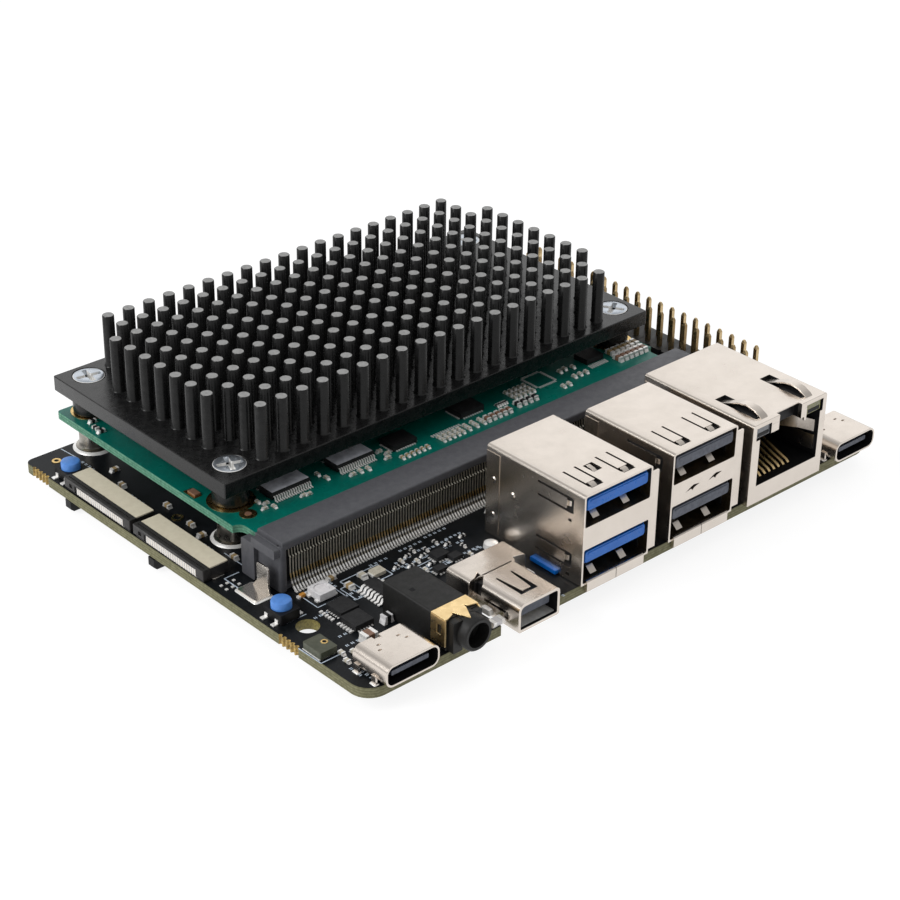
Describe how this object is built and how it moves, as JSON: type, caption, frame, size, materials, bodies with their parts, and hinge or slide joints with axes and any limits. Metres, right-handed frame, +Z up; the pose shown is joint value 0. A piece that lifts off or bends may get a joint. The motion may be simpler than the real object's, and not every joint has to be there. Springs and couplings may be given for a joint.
{
  "type": "single board computer",
  "caption": "Black carrier board with port row, pin header and cable sockets, carrying a plug-in green computer module under a black pin-fin heat sink.",
  "frame": {"origin": "middle of the overall bounding box in plan, at the lowest point of the assembly (the underside of the card socket below the board)", "axes": "+X runs to the right along the edge that holds the ports, +Y runs from the port edge to the rear edge, +Z is up out of the board"},
  "size_m": [0.1, 0.0804, 0.0241],
  "materials": {
    "black_solder_mask": "satin black solder mask over glass-fibre laminate",
    "green_solder_mask": "glossy blue-green solder mask over glass-fibre laminate",
    "black_anodised_aluminium": "black anodised, satin",
    "zinc_plated_steel": "bright zinc plate",
    "tinned_steel": "tin plate",
    "grey_black_plastic": "matte moulded plastic",
    "tinned_contact_alloy": "tinned spring alloy",
    "nickel_silver": "warm nickel plate, satin",
    "usb3_plastic": "blue moulded plastic",
    "usb2_plastic": "slate grey moulded plastic",
    "port_black_plastic": "matte moulded plastic",
    "gold_plate": "thin gold plate",
    "light_pipe_left": "clear grey light pipe",
    "light_pipe_right": "yellow light pipe",
    "matte_black_nylon": "matte nylon",
    "brass": "bright brass",
    "header_black_plastic": "matte moulded plastic with gold-plated pins",
    "cream_plastic": "cream high-temperature plastic",
    "latch_dark_plastic": "dark high-temperature plastic",
    "button_black_plastic": "matte plastic with a plated cover",
    "button_blue_plastic": "blue plastic plunger",
    "chip_black": "moulding compound",
    "thermal_pad_grey": "soft gap filler",
    "lamp_white": "white",
    "microphone_olive": "olive laminate",
    "capacitor_brown": "brown ceramic"
  },
  "bodies": {
    "board": {"audio_jack_body": "matte_black_nylon", "audio_jack_clip": "brass", "bus_chip_1": "chip_black", "bus_chip_2": "chip_black", "button_switch_front": "button_black_plastic", "button_switch_rear": "button_black_plastic", "cable_socket_front": "cream_plastic", "cable_socket_rear": "cream_plastic", "card_socket": "port_black_plastic", "carrier_board": "black_solder_mask", "ceramic_capacitor": "capacitor_brown", "display_port_shell": "nickel_silver", "display_port_tongue": "port_black_plastic", "edge_connector_clip_left": "tinned_steel", "edge_connector_clip_right": "tinned_steel", "edge_connector_contacts": "tinned_contact_alloy", "edge_connector_housing": "grey_black_plastic", "ethernet_contacts": "gold_plate", "ethernet_insert": "port_black_plastic", "ethernet_light_pipe_left": "light_pipe_left", "ethernet_light_pipe_right": "light_pipe_right", "ethernet_shield": "nickel_silver", "heat_sink": "black_anodised_aluminium", "heat_sink_screw_1": "zinc_plated_steel", "heat_sink_screw_2": "zinc_plated_steel", "heat_sink_screw_3": "zinc_plated_steel", "heat_sink_screw_4": "zinc_plated_steel", "memory_chip_1": "chip_black", "memory_chip_2": "chip_black", "microphone": "microphone_olive", "module_board": "green_solder_mask", "pin_header": "header_black_plastic", "power_chip_front": "chip_black", "power_chip_rear": "chip_black", "power_manager_chip": "chip_black", "processor": "chip_black", "spacer_1": "tinned_steel", "spacer_2": "tinned_steel", "spacer_3": "tinned_steel", "spacer_4": "tinned_steel", "status_lamp": "lamp_white", "storage_chip": "chip_black", "thermal_pad": "thermal_pad_grey", "usb2_insert": "usb2_plastic", "usb2_shield": "nickel_silver", "usb3_insert": "usb3_plastic", "usb3_shield": "nickel_silver", "usb_c_shell_left": "nickel_silver", "usb_c_shell_right": "nickel_silver", "usb_c_tongue_left": "port_black_plastic", "usb_c_tongue_right": "port_black_plastic"},
    "button_cap_front": {"button_cap_front": "button_blue_plastic"},
    "button_cap_rear": {"button_cap_rear": "button_blue_plastic"},
    "cable_latch_front": {"cable_latch_front": "latch_dark_plastic"},
    "cable_latch_rear": {"cable_latch_rear": "latch_dark_plastic"}
  },
  "joints": [
    {"name": "button_front_press", "type": "slide", "parent": "board", "child": "button_cap_front", "axis": [0, 0, -1], "range_m": [0, 0.00025], "stiffness_N_per_m": 200, "springref_m": -0.0005},
    {"name": "button_rear_press", "type": "slide", "parent": "board", "child": "button_cap_rear", "axis": [0, 0, -1], "range_m": [0, 0.00025], "stiffness_N_per_m": 200, "springref_m": -0.0005},
    {"name": "cable_latch_front_flip", "type": "hinge", "parent": "board", "child": "cable_latch_front", "pos_m": [-0.04885, 0.00375, 0.006], "axis": [0, 1, 0], "range_deg": [0, 90]},
    {"name": "cable_latch_rear_flip", "type": "hinge", "parent": "board", "child": "cable_latch_rear", "pos_m": [-0.04885, 0.02085, 0.006], "axis": [0, 1, 0], "range_deg": [0, 90]}
  ]
}
